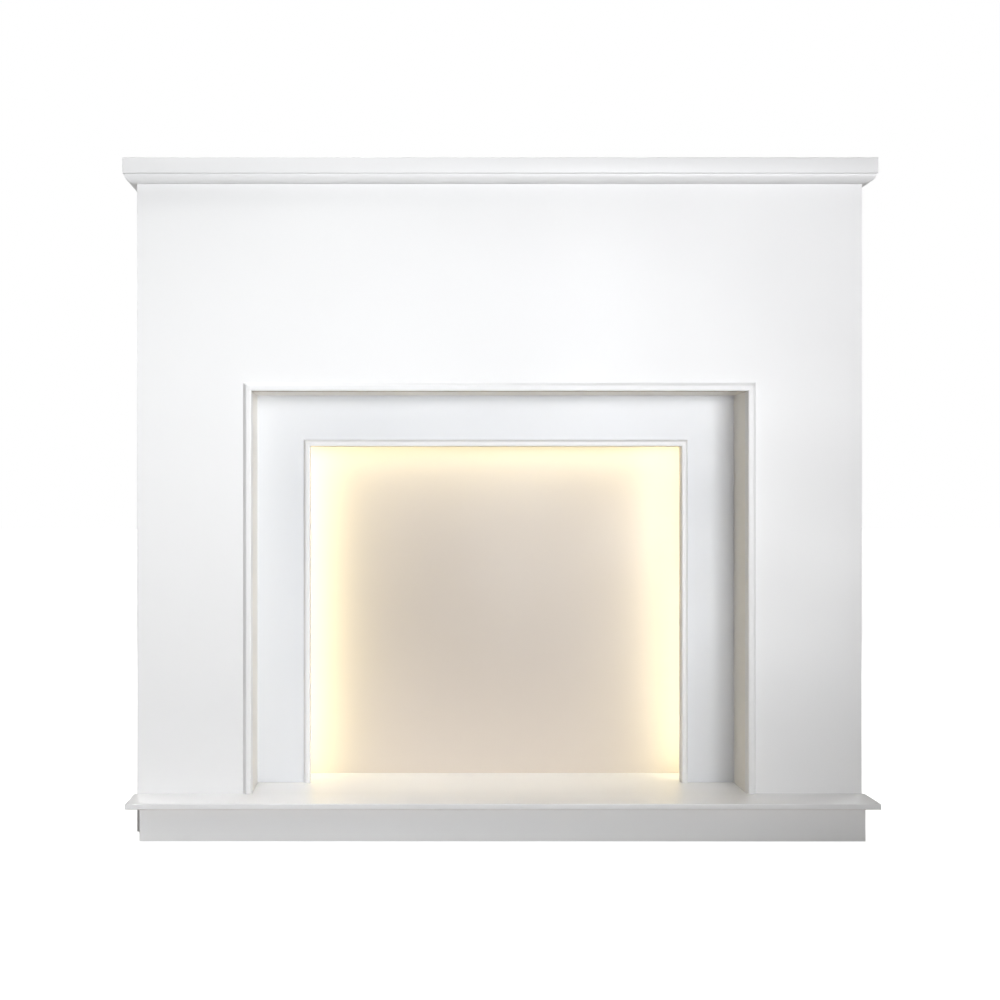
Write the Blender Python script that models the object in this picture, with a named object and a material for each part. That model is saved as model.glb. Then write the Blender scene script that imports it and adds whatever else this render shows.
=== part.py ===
"""A white mantelpiece: a boarded case with a stepped recess, a back-lit niche and a low hearth.

Lengths are in metres, +Z is up and the front faces -Y. The origin is on the floor, at the middle of
the object's overall width and depth.
"""

import math
from dataclasses import dataclass

import bmesh
import bpy
from mathutils import Matrix, Vector

# Clearance between pieces that touch
GAP = 0.0003

# Hearth: a thin slab on a low plinth
PLINTH_HEIGHT = 0.064
PLINTH_THICKNESS = 0.015
PLINTH_FRONT_SETBACK = 0.015
PLINTH_END_SETBACK = 0.026
SLAB_THICKNESS = 0.012
SLAB_PROJECTION = 0.100
SLAB_END_OVERHANG = 0.006
SLAB_ARRIS = 0.0015
BEARER_THICKNESS = 0.018

# Niche: the lit opening in the middle
NICHE_WIDTH = 0.770
NICHE_HEIGHT = 0.6985
NICHE_DEPTH = 0.105
NICHE_BACK_THICKNESS = 0.012

# Inner surround: the flat panel round the niche, at the back of the recess
SURROUND_LEG = 0.1105
SURROUND_HEAD = 0.106
SURROUND_THICKNESS = 0.018

# Recess: the large opening in the case
RECESS_DEPTH = 0.115
LINING_THICKNESS = 0.015

# Case: the front board, its two sides and the rails across the open back
CASE_LEG = 0.2295
CASE_HEAD = 0.4305
FRONT_THICKNESS = 0.018
SIDE_THICKNESS = 0.018
CASE_ARRIS = 0.001
REAR_SPACE = 0.028
RAIL_THICKNESS = 0.020
RAIL_HEIGHT = 0.070

# Shelf, and the bed mould under it
SHELF_THICKNESS = 0.032
SHELF_OVERHANG = 0.025
SHELF_ARRIS = 0.0015
BED_HEIGHT = 0.016
BED_PROJECTION = 0.022
BED_FILLET = 0.001
BED_SOFFIT = 0.005

# Raised beads round the recess and the niche: a flat nose at the opening, splayed outwards to a lip
OUTER_BEAD_WIDTH = 0.017
OUTER_BEAD_HEIGHT = 0.0085
INNER_BEAD_WIDTH = 0.014
INNER_BEAD_HEIGHT = 0.0075
BEAD_SPLAY = 0.0075
BEAD_LIP = 0.001
BEAD_ROUNDING = 0.003

# Light bars on the back of the inner surround, facing the back of the niche
BAR_WIDTH = 0.017
BAR_DEPTH = 0.009
BAR_CROWN = 0.002
BAR_SETBACK = 0.012
BAR_LIFT = 0.010

# Cable gland on the rear of the niche's back, behind the surround's right leg, with a blank seal
GLAND_BODY = 0.018
GLAND_FLANGE = 0.026
GLAND_FLANGE_THICKNESS = 0.003
GLAND_LENGTH = 0.014
GLAND_SEAL = 0.008
GLAND_SEAL_DEPTH = 0.002
GLAND_LIFT = 0.060
GLAND_SIDES = 24

# Faces along a quarter of a rounded profile, and across an eased arris
ROUND_STEPS = 6
ARRIS_STEPS = 2

# Places worked out from the sizes above
SLAB_TOP = PLINTH_HEIGHT + SLAB_THICKNESS
NICHE_TOP = SLAB_TOP + NICHE_HEIGHT
RECESS_TOP = NICHE_TOP + SURROUND_HEAD
CASE_TOP = RECESS_TOP + CASE_HEAD
SHELF_TOP = CASE_TOP + SHELF_THICKNESS
NICHE_X = NICHE_WIDTH / 2
RECESS_X = NICHE_X + SURROUND_LEG
CASE_X = RECESS_X + CASE_LEG
SLAB_X = CASE_X + SLAB_END_OVERHANG
PLINTH_X = SLAB_X - PLINTH_END_SETBACK
SHELF_X = CASE_X + SHELF_OVERHANG
CASE_DEPTH = RECESS_DEPTH + NICHE_DEPTH + NICHE_BACK_THICKNESS + REAR_SPACE
OVERALL_DEPTH = SLAB_PROJECTION + CASE_DEPTH
SLAB_Y = -OVERALL_DEPTH / 2
PLINTH_Y = SLAB_Y + PLINTH_FRONT_SETBACK
CASE_Y = SLAB_Y + SLAB_PROJECTION
SURROUND_Y = CASE_Y + RECESS_DEPTH
NICHE_BACK_Y = SURROUND_Y + NICHE_DEPTH
BACK_Y = CASE_Y + CASE_DEPTH

LEFT, RIGHT = -1, 1
SIDE_NAMES = {LEFT: "left", RIGHT: "right"}
X, Y, Z = Vector((1, 0, 0)), Vector((0, 1, 0)), Vector((0, 0, 1))


@dataclass(frozen=True)
class Finish:
    """A surface's linear base colour, roughness and metallic value."""

    colour: tuple
    roughness: float
    metallic: float = 0.0


SATIN_WHITE = Finish((0.86, 0.86, 0.87), 0.42)
WARM_GREIGE = Finish((0.62, 0.57, 0.51), 0.45)
RAW_PINE = Finish((0.56, 0.36, 0.18), 0.75)
LIT_OPAL = Finish((0.90, 0.84, 0.68), 0.35)
BLACK_NYLON = Finish((0.02, 0.02, 0.022), 0.5)


def clear_scene():
    """Removes every object of the startup scene."""
    for thing in list(bpy.data.objects):
        bpy.data.objects.remove(thing, do_unlink=True)


def new_material(name, finish):
    """A Principled material with one finish."""
    material = bpy.data.materials.new(name)
    material.use_nodes = True
    shader = material.node_tree.nodes["Principled BSDF"]
    shader.inputs["Base Color"].default_value = (*finish.colour, 1.0)
    shader.inputs["Roughness"].default_value = finish.roughness
    shader.inputs["Metallic"].default_value = finish.metallic
    return material


def add_piece(name, mesh, finish):
    """Makes a named object from a bmesh, with its origin at the middle of its underside."""
    bmesh.ops.recalc_face_normals(mesh, faces=mesh.faces)
    xs, ys, zs = zip(*(vert.co for vert in mesh.verts))
    origin = Vector(((min(xs) + max(xs)) / 2, (min(ys) + max(ys)) / 2, min(zs)))
    bmesh.ops.translate(mesh, verts=mesh.verts, vec=-origin)
    data = bpy.data.meshes.new(name)
    mesh.to_mesh(data)
    mesh.free()
    data.materials.append(new_material(f"{name}_finish", finish))
    piece = bpy.data.objects.new(name, data)
    piece.location = origin
    bpy.context.collection.objects.link(piece)
    return piece


def box_mesh(low, high):
    """A bmesh box between two corners."""
    low, high = Vector(low), Vector(high)
    place = Matrix.Translation((low + high) / 2) @ Matrix.Diagonal((*(high - low), 1.0))
    mesh = bmesh.new()
    bmesh.ops.create_cube(mesh, size=1.0, matrix=place)
    return mesh


def prism_mesh(outline, along):
    """A bmesh made by extruding a flat outline along a vector."""
    mesh = bmesh.new()
    face = mesh.faces.new([mesh.verts.new(point) for point in outline])
    grown = bmesh.ops.extrude_face_region(mesh, geom=[face])["geom"]
    far = [item for item in grown if isinstance(item, bmesh.types.BMVert)]
    bmesh.ops.translate(mesh, verts=far, vec=along)
    return mesh


def ease_edges(mesh, width, keep):
    """Rounds the edges whose two ends both pass the test keep."""
    edges = [edge for edge in mesh.edges if all(keep(vert.co) for vert in edge.verts)]
    bmesh.ops.bevel(
        mesh, geom=edges, offset=width, segments=ARRIS_STEPS, profile=0.5, affect="EDGES"
    )


def saw_end(mesh, corner, normal):
    """Cuts off what lies past a plane through corner, half the clearance short of it."""
    normal = Vector(normal).normalized()
    cut = bmesh.ops.bisect_plane(
        mesh,
        geom=mesh.verts[:] + mesh.edges[:] + mesh.faces[:],
        plane_co=Vector(corner) - normal * GAP / 2,
        plane_no=normal,
        clear_outer=True,
    )
    edges = [item for item in cut["geom_cut"] if isinstance(item, bmesh.types.BMEdge)]
    bmesh.ops.edgeloop_fill(mesh, edges=edges)


def quarter_round(centre, across, up, start_angle, end_angle):
    """Points along a quarter of an ellipse with half-axes across and up, ends included."""
    span = end_angle - start_angle
    angles = [math.radians(start_angle + span * step / ROUND_STEPS) for step in range(ROUND_STEPS + 1)]
    return [(centre[0] + across * math.cos(a), centre[1] + up * math.sin(a)) for a in angles]


def moulding(name, profile, start, length, out, up, cuts, finish):
    """A straight run of moulding.

    The profile's points are (out, up) distances from start, and the run goes along the vector
    length. Each cut is a corner and the direction that is sawn away there.
    """
    outline = [Vector(start) + out * across + up * rise for across, rise in profile]
    mesh = prism_mesh(outline, length)
    for corner, normal in cuts:
        saw_end(mesh, corner, normal)
    return add_piece(name, mesh, finish)


def make_shelf():
    """The shelf board, with all its arrises eased."""
    mesh = box_mesh((-SHELF_X, CASE_Y - SHELF_OVERHANG, CASE_TOP + GAP), (SHELF_X, BACK_Y, SHELF_TOP))
    ease_edges(mesh, SHELF_ARRIS, lambda co: True)
    add_piece("mantel_shelf", mesh, SATIN_WHITE)


def bed_profile():
    """The ovolo under the shelf: a fillet, a convex round and a flat soffit back to the case."""
    reach = BED_PROJECTION - BED_SOFFIT
    drop = BED_HEIGHT - BED_FILLET
    arc = quarter_round((BED_SOFFIT, -BED_FILLET), reach, drop, 0, -90)
    return [(GAP, 0), (BED_PROJECTION, 0), *arc, (GAP, -BED_HEIGHT)]


def make_bed_mould():
    """The moulding along the front and both sides, mitred at the front corners."""
    spare = 2 * BED_PROJECTION
    corners = {side: (side * CASE_X, CASE_Y, 0) for side in (LEFT, RIGHT)}
    moulding(
        "bed_mould_front",
        bed_profile(),
        (-CASE_X - spare, CASE_Y, CASE_TOP),
        X * 2 * (CASE_X + spare),
        -Y,
        Z,
        [(corners[side], (side, 1, 0)) for side in (LEFT, RIGHT)],
        SATIN_WHITE,
    )
    for side, word in SIDE_NAMES.items():
        moulding(
            f"bed_mould_{word}",
            bed_profile(),
            (side * CASE_X, BACK_Y, CASE_TOP),
            -Y * (CASE_DEPTH + spare),
            X * side,
            Z,
            [(corners[side], (-side, -1, 0))],
            SATIN_WHITE,
        )


def arch_outline(outer_x, inner_x, foot, inner_top, outer_top, y):
    """A board's outline with an opening cut up into it from its foot."""
    half = [(inner_x, foot), (outer_x, foot), (outer_x, outer_top)]
    right = [(x, y, z) for x, z in half]
    left = [(-x, y, z) for x, z in reversed(half)]
    return [(inner_x, y, inner_top), *right, *left, (-inner_x, y, inner_top)]


def make_case():
    """The front board with its two legs and head, and the two side boards behind it."""
    outline = arch_outline(CASE_X, RECESS_X, 0, RECESS_TOP, CASE_TOP, CASE_Y)
    mesh = prism_mesh(outline, Y * FRONT_THICKNESS)
    middle = CASE_Y + FRONT_THICKNESS / 2
    ease_edges(mesh, CASE_ARRIS, lambda co: co.y < middle and abs(co.x) > RECESS_X + GAP)
    add_piece("front_panel", mesh, SATIN_WHITE)
    side_y = CASE_Y + FRONT_THICKNESS + GAP
    for side, word in SIDE_NAMES.items():
        xs = sorted((side * CASE_X, side * (CASE_X - SIDE_THICKNESS)))
        mesh = box_mesh((xs[0], side_y, 0), (xs[1], BACK_Y, CASE_TOP))
        add_piece(f"side_{word}", mesh, SATIN_WHITE)


def make_lining():
    """The boards at both sides of the recess and niche, and the one across their top."""
    front = CASE_Y + FRONT_THICKNESS + GAP
    outer_x = RECESS_X + LINING_THICKNESS
    for side, word in SIDE_NAMES.items():
        xs = sorted((side * RECESS_X, side * outer_x))
        mesh = box_mesh((xs[0], front, 0), (xs[1], BACK_Y, RECESS_TOP - GAP))
        add_piece(f"lining_{word}", mesh, SATIN_WHITE)
    mesh = box_mesh((-outer_x, front, RECESS_TOP), (outer_x, BACK_Y, RECESS_TOP + LINING_THICKNESS))
    add_piece("lining_head", mesh, SATIN_WHITE)


def make_inner_surround():
    """The panel round the niche, standing on the slab between the linings."""
    outline = arch_outline(
        RECESS_X - GAP, NICHE_X, SLAB_TOP + GAP, NICHE_TOP, RECESS_TOP - GAP, SURROUND_Y
    )
    add_piece("inner_surround", prism_mesh(outline, Y * SURROUND_THICKNESS), SATIN_WHITE)


def bead_profile(width, height):
    """A flat-backed bead, from the opening's edge outwards: a rounded nose, then the splay."""
    r = BEAD_ROUNDING
    nose = quarter_round((r, height - r), r, r, 180, 90)
    return [(0, 0), *nose, (width - BEAD_SPLAY, height), (width, BEAD_LIP), (width, 0)]


def make_beads(prefix, width, height, edge_x, edge_top, face_y):
    """A bead up both sides and across the top of an opening, mitred at the two corners."""
    profile = bead_profile(width, height)
    spare = 2 * width
    foot = SLAB_TOP + GAP
    front = face_y - GAP
    corners = {side: (side * edge_x, front, edge_top) for side in (LEFT, RIGHT)}
    moulding(
        f"{prefix}_top",
        [(rise, across) for across, rise in profile],
        (-edge_x - spare, front, edge_top),
        X * 2 * (edge_x + spare),
        -Y,
        Z,
        [(corners[side], (side, 0, -1)) for side in (LEFT, RIGHT)],
        SATIN_WHITE,
    )
    for side, word in SIDE_NAMES.items():
        moulding(
            f"{prefix}_{word}",
            profile,
            (side * edge_x, front, foot),
            Z * (edge_top + spare - foot),
            X * side,
            -Y,
            [(corners[side], (-side, 0, 1))],
            SATIN_WHITE,
        )


def turned_mesh(profile, centre):
    """A solid turned about the line through centre along +Y, from (radius, along) points."""
    mesh = bmesh.new()
    verts = [mesh.verts.new(Vector(centre) + X * radius + Y * along) for radius, along in profile]
    edges = [mesh.edges.new(pair) for pair in zip(verts, verts[1:])]
    bmesh.ops.spin(
        mesh,
        geom=verts + edges,
        cent=centre,
        axis=Y,
        angle=2 * math.pi,
        steps=GLAND_SIDES,
    )
    bmesh.ops.remove_doubles(mesh, verts=mesh.verts, dist=GAP / 10)
    return mesh


def make_niche_back():
    """The board behind the niche, and the cable gland on its rear."""
    rear = NICHE_BACK_Y + NICHE_BACK_THICKNESS
    mesh = box_mesh((-RECESS_X + GAP, NICHE_BACK_Y, 0), (RECESS_X - GAP, rear, RECESS_TOP - GAP))
    add_piece("niche_back", mesh, WARM_GREIGE)
    body, flange, seal = GLAND_BODY / 2, GLAND_FLANGE / 2, GLAND_SEAL / 2
    profile = [
        (0, 0),
        (flange, 0),
        (flange, GLAND_FLANGE_THICKNESS),
        (body, GLAND_FLANGE_THICKNESS),
        (body, GLAND_LENGTH - GLAND_SEAL_DEPTH),
        ((body + seal) / 2, GLAND_LENGTH),
        (seal, GLAND_LENGTH),
        (seal, GLAND_LENGTH - GLAND_SEAL_DEPTH),
        (0, GLAND_LENGTH - GLAND_SEAL_DEPTH),
    ]
    centre = (NICHE_X + SURROUND_LEG / 2, rear + GAP, SLAB_TOP + GLAND_LIFT)
    gland = add_piece("cable_gland", turned_mesh(profile, centre), BLACK_NYLON)
    gland.data.shade_smooth()
    gland.data.set_sharp_from_angle(angle=math.radians(30))


def make_light_bars():
    """Three bars just outside the niche's edges, out of sight from the front."""
    box = BAR_DEPTH - BAR_CROWN
    crown = quarter_round((BAR_WIDTH / 2, box), BAR_WIDTH / 2, BAR_CROWN, 180, 0)
    profile = [(0, 0), *crown, (BAR_WIDTH, 0)]
    near_x = NICHE_X + BAR_SETBACK
    near_z = NICHE_TOP + BAR_SETBACK
    back = SURROUND_Y + SURROUND_THICKNESS + GAP
    foot = SLAB_TOP + BAR_LIFT
    end_x = near_x + BAR_WIDTH
    moulding(
        "light_bar_top",
        [(rise, across) for across, rise in profile],
        (-end_x, back, near_z),
        X * 2 * end_x,
        Y,
        Z,
        [],
        LIT_OPAL,
    )
    for side, word in SIDE_NAMES.items():
        moulding(
            f"light_bar_{word}",
            profile,
            (side * near_x, back, foot),
            Z * (near_z - GAP - foot),
            X * side,
            Y,
            [],
            LIT_OPAL,
        )


def make_slab():
    """The slab before the case, with a tongue back through the recess to the niche's back."""
    foot = PLINTH_HEIGHT + GAP
    shoulder = CASE_Y - GAP
    tongue_x = RECESS_X - GAP
    half = [(SLAB_X, SLAB_Y), (SLAB_X, shoulder), (tongue_x, shoulder), (tongue_x, NICHE_BACK_Y - GAP)]
    right = [(x, y, foot) for x, y in half]
    left = [(-x, y, foot) for x, y in reversed(half)]
    mesh = prism_mesh([*right, *left], Z * (SLAB_TOP - foot))
    middle = (SLAB_Y + shoulder) / 2
    ease_edges(
        mesh,
        SLAB_ARRIS,
        lambda co: co.y < middle or (abs(co.x) > CASE_X and co.z > foot),
    )
    add_piece("hearth_slab", mesh, SATIN_WHITE)


def make_plinth():
    """The plinth's front and ends, mitred, and the two battens that bear the slab."""
    rear = CASE_Y - GAP
    spare = 2 * PLINTH_THICKNESS
    section = [(0, 0), (0, PLINTH_HEIGHT), (PLINTH_THICKNESS, PLINTH_HEIGHT), (PLINTH_THICKNESS, 0)]
    corners = {side: (side * PLINTH_X, PLINTH_Y, 0) for side in (LEFT, RIGHT)}
    moulding(
        "plinth_front",
        section,
        (-PLINTH_X - spare, PLINTH_Y, 0),
        X * 2 * (PLINTH_X + spare),
        Y,
        Z,
        [(corners[side], (side, 1, 0)) for side in (LEFT, RIGHT)],
        SATIN_WHITE,
    )
    for side, word in SIDE_NAMES.items():
        moulding(
            f"plinth_end_{word}",
            section,
            (side * PLINTH_X, rear, 0),
            Y * (PLINTH_Y - spare - rear),
            X * -side,
            Z,
            [(corners[side], (-side, -1, 0))],
            SATIN_WHITE,
        )
    inner_x = PLINTH_X - PLINTH_THICKNESS - GAP
    mesh = box_mesh((-inner_x, rear - BEARER_THICKNESS, 0), (inner_x, rear, PLINTH_HEIGHT))
    add_piece("hearth_bearer_front", mesh, RAW_PINE)
    tongue_x = RECESS_X - GAP
    tongue_y = NICHE_BACK_Y - GAP
    mesh = box_mesh((-tongue_x, tongue_y - BEARER_THICKNESS, 0), (tongue_x, tongue_y, PLINTH_HEIGHT))
    add_piece("hearth_bearer_back", mesh, RAW_PINE)


def make_rails():
    """The fixing rail under the shelf and a rail low down in each leg, flush with the back."""
    inner_x = CASE_X - SIDE_THICKNESS - GAP
    front = BACK_Y - RAIL_THICKNESS
    mesh = box_mesh((-inner_x, front, CASE_TOP - RAIL_HEIGHT), (inner_x, BACK_Y, CASE_TOP))
    add_piece("back_rail_top", mesh, RAW_PINE)
    outer_x = RECESS_X + LINING_THICKNESS + GAP
    for side, word in SIDE_NAMES.items():
        xs = sorted((side * outer_x, side * inner_x))
        mesh = box_mesh((xs[0], front, 0), (xs[1], BACK_Y, RAIL_HEIGHT))
        add_piece(f"back_rail_{word}", mesh, RAW_PINE)


def main():
    """Builds the mantelpiece from the floor up."""
    clear_scene()
    make_plinth()
    make_slab()
    make_case()
    make_lining()
    make_inner_surround()
    make_niche_back()
    make_beads("outer_bead", OUTER_BEAD_WIDTH, OUTER_BEAD_HEIGHT, RECESS_X, RECESS_TOP, CASE_Y)
    make_beads("inner_bead", INNER_BEAD_WIDTH, INNER_BEAD_HEIGHT, NICHE_X, NICHE_TOP, SURROUND_Y)
    make_light_bars()
    make_rails()
    make_bed_mould()
    make_shelf()


main()
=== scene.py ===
"""The looks of a white painted mantelpiece with a back-lit niche and a low hearth.

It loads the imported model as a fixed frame, gives each board its finish, puts finer mouldings, slab,
light bars and cable gland in place of the plain ones, and sets up a plain pale studio.
Lengths are in metres, +Z is up and the front faces -Y.
"""

import logging
import math
from collections.abc import Callable, Iterator, Sequence
from contextlib import contextmanager
from dataclasses import dataclass, replace
from enum import Enum
from itertools import product

import bmesh
import bpy
from bpy.types import Material, Node, NodeSocket, NodeTree, Object
from mathutils import Matrix, Vector


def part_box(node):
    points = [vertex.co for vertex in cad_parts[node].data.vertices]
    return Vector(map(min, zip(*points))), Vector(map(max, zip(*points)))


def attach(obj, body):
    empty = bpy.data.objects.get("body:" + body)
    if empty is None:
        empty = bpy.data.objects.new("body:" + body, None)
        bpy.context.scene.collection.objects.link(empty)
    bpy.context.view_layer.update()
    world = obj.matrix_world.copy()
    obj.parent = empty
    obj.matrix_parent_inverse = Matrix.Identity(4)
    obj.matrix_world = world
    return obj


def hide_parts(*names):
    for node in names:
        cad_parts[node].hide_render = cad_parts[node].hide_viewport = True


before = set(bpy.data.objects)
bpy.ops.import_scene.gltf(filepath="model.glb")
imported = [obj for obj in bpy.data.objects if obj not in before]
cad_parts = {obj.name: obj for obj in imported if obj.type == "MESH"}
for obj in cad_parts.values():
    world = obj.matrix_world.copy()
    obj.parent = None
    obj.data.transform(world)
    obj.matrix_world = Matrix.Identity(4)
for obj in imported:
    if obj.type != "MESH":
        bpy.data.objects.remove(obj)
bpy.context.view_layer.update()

LOG = logging.getLogger("mantelpiece")
BODY = "root"

Pair = tuple[float, float]
Triple = tuple[float, float, float]

MM = 0.001
CLEARANCE = 0.3 * MM
# A noise's values lie mostly between these, so that a remap from them uses its whole range
NOISE_SPAN = (0.3, 0.7)
# Octaves of detail in a noise
FEW, SOME, MANY = 2.0, 3.0, 4.0
# Corners closer than this are welded
WELD = 0.005 * MM
# Two directions whose dot product is over this are the same
SAME_WAY = 0.99
X, Y, Z = Vector((1, 0, 0)), Vector((0, 1, 0)), Vector((0, 0, 1))
# The turn that lays an upright primitive along y
LAID_ALONG_Y = (math.pi / 2, 0, 0)

PAINT_SLOT = "satin_white_paint"
OPAL_SLOT = "opal_diffuser"
NYLON_SLOT = "black_nylon"
ALUMINIUM_SLOT = "anodised_aluminium"
ZINC_SLOT = "zinc_plated_steel"


class Face(Enum):
    """A side of a board, named for where it looks."""

    LEFT = (-1.0, 0.0, 0.0)
    RIGHT = (1.0, 0.0, 0.0)
    FRONT = (0.0, -1.0, 0.0)
    REAR = (0.0, 1.0, 0.0)
    UNDER = (0.0, 0.0, -1.0)
    TOP = (0.0, 0.0, 1.0)


class Flank(Enum):
    """The left or right half of the mantelpiece, with the sign of its x."""

    LEFT = -1
    RIGHT = 1

    @property
    def word(self) -> str:
        """The word that node names use."""
        return self.name.lower()

    @property
    def outward(self) -> Face:
        """The way that looks away from the middle."""
        return Face[self.name]

    @property
    def inward(self) -> Face:
        """The way that looks to the middle."""
        return Face.RIGHT if self is Flank.LEFT else Face.LEFT


class Part(Enum):
    """What an edit-mode selection holds."""

    EDGES = "EDGE"
    FACES = "FACE"


def linear(code: str) -> tuple[float, float, float, float]:
    """Turns an sRGB hex colour into linear red, green, blue and alpha.

    Args:
        code: A colour such as "#F2F2F3".

    Returns:
        The four linear values, alpha being 1.
    """
    values = [int(code[i : i + 2], 16) / 255 for i in (1, 3, 5)]
    red, green, blue = [v / 12.92 if v <= 0.04045 else ((v + 0.055) / 1.055) ** 2.4 for v in values]
    return red, green, blue, 1.0


def find_socket(sockets: Sequence[NodeSocket], key: str) -> NodeSocket:
    """Finds a node's input or output by its identifier, or else by its name."""
    named = [socket for socket in sockets if socket.identifier == key]
    return (named or [socket for socket in sockets if socket.name == key])[0]


def add_node(
    tree: NodeTree, kind: str, settings: dict | None = None, inputs: dict | None = None, out: str = ""
) -> Node | NodeSocket:
    """Adds a node with its settings, input values and links.

    Args:
        tree: The node tree that gets it.
        kind: The node's type name.
        settings: The node's own properties.
        inputs: For each input, the value it keeps or the socket that feeds it.
        out: The output to hand back instead of the node.

    Returns:
        The node, or the output named by out.
    """
    node = tree.nodes.new(kind)
    for name, value in (settings or {}).items():
        setattr(node, name, value)
    for key, value in (inputs or {}).items():
        target = find_socket(node.inputs, key)
        if isinstance(value, NodeSocket):
            tree.links.new(value, target)
        else:
            target.default_value = value
    return find_socket(node.outputs, out) if out else node


def new_material(name: str) -> tuple[Material, NodeTree, Node]:
    """Makes a material with an untouched Principled shader.

    Args:
        name: The material's name.

    Returns:
        The material, its node tree and its shader.
    """
    material = bpy.data.materials.new(name)
    material.use_nodes = True
    tree = material.node_tree
    return material, tree, tree.nodes["Principled BSDF"]


def frequency(millimetres: float) -> float:
    """The texture scale at which a noise's grains are so many millimetres wide."""
    return 1.0 / (millimetres * MM)


def mix_colours(tree: NodeTree, share: NodeSocket, first: object, second: object) -> NodeSocket:
    """Mixes two colours, each a value or a socket, by the share that the second one has."""
    inputs = {"Factor_Float": share, "A_Color": first, "B_Color": second}
    return add_node(tree, "ShaderNodeMix", {"data_type": "RGBA"}, inputs, "Result_Color")


def math_node(tree: NodeTree, operation: str, first: object, second: object) -> NodeSocket:
    """Works one number out of two, each a value or the socket that gives it."""
    inputs = {"Value": first, "Value_001": second}
    return add_node(tree, "ShaderNodeMath", {"operation": operation}, inputs, "Value")


def vector_math(tree: NodeTree, operation: str, *vectors: object, out: str = "Vector") -> NodeSocket:
    """Works a vector out of one or two, or a number, each a value or the socket that gives it."""
    inputs = dict(zip(("Vector", "Vector_001"), vectors))
    return add_node(tree, "ShaderNodeVectorMath", {"operation": operation}, inputs, out)


def noise(tree: NodeTree, place: NodeSocket, grain_mm: float, detail: float) -> NodeSocket:
    """Adds a noise with grains of a given size and hands back its value."""
    inputs = {"Vector": place, "Scale": frequency(grain_mm), "Detail": detail}
    return add_node(tree, "ShaderNodeTexNoise", {}, inputs, "Fac")


def feed_shader(
    tree: NodeTree, shader: Node, colour: NodeSocket, roughness: NodeSocket, height: NodeSocket, depth: float
) -> None:
    """Gives a shader its colour, its roughness and a fine relief.

    Args:
        tree: The node tree.
        shader: The Principled shader.
        colour: The base colour.
        roughness: The roughness.
        height: The relief, from 0 to 1.
        depth: How deep the relief is, in metres.
    """
    inputs = {"Height": height, "Distance": depth, "Strength": 1.0}
    bump = add_node(tree, "ShaderNodeBump", {}, inputs, "Normal")
    for name, socket in (("Base Color", colour), ("Roughness", roughness), ("Normal", bump)):
        tree.links.new(socket, shader.inputs[name])


def remap(tree: NodeTree, value: NodeSocket, source: tuple, target: tuple) -> NodeSocket:
    """Maps a number from one range to another, held within it."""
    inputs = dict(zip(("Value", "From Min", "From Max", "To Min", "To Max"), (value, *source, *target)))
    return add_node(tree, "ShaderNodeMapRange", {}, inputs, "Result")


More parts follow.
